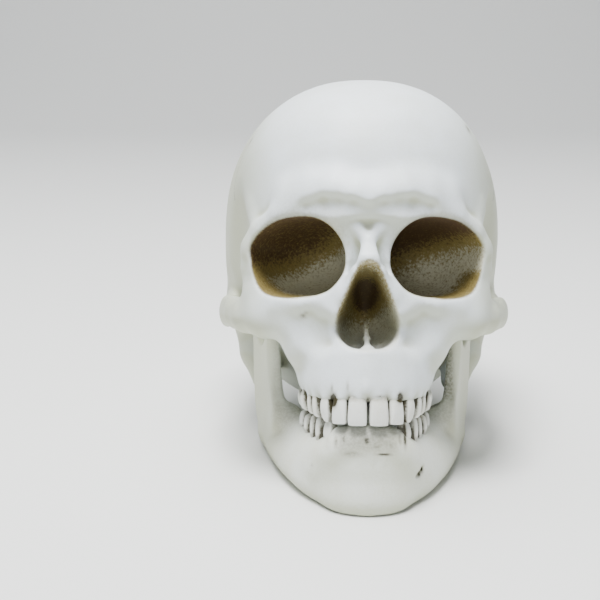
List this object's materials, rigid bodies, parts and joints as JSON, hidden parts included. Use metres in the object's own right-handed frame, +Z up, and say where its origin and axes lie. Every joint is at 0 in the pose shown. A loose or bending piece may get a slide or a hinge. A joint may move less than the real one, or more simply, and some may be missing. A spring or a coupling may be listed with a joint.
{
  "type": "human skull cast",
  "caption": "Life-size cast of an adult human skull with closed lower jaw and teeth, resting on a table on its chin, jaw angles and the back of the head.",
  "frame": {"origin": "centre of the underside's bounding box, on the table plane", "axes": "+Z up; the face looks towards -Y, leaning back 18 degrees from the ear-eye plane; +X is the skull's own left side"},
  "size_m": [0.1374, 0.2124, 0.171],
  "materials": {
    "frontal_bone": "matt cream paint on cast resin",
    "parietal_left_bone": "matt cream paint on cast resin",
    "parietal_right_bone": "matt cream paint on cast resin",
    "occipital_bone": "matt cream paint on cast resin",
    "temporal_left_bone": "matt cream paint on cast resin",
    "temporal_right_bone": "matt cream paint on cast resin",
    "sphenoid_bone": "matt cream paint on cast resin",
    "zygomatic_left_bone": "matt cream paint on cast resin",
    "zygomatic_right_bone": "matt cream paint on cast resin",
    "nasal_left_bone": "matt cream paint on cast resin",
    "nasal_right_bone": "matt cream paint on cast resin",
    "maxilla_left_bone": "matt cream paint on cast resin",
    "maxilla_right_bone": "matt cream paint on cast resin",
    "mandible_bone": "matt cream paint on cast resin"
  },
  "bodies": {
    "root": {"frontal": "frontal_bone", "parietal_left": "parietal_left_bone", "parietal_right": "parietal_right_bone", "occipital": "occipital_bone", "temporal_left": "temporal_left_bone", "temporal_right": "temporal_right_bone", "sphenoid": "sphenoid_bone", "zygomatic_left": "zygomatic_left_bone", "zygomatic_right": "zygomatic_right_bone", "nasal_left": "nasal_left_bone", "nasal_right": "nasal_right_bone", "maxilla_left": "maxilla_left_bone", "maxilla_right": "maxilla_right_bone", "mandible": "mandible_bone"}
  },
  "joints": []
}
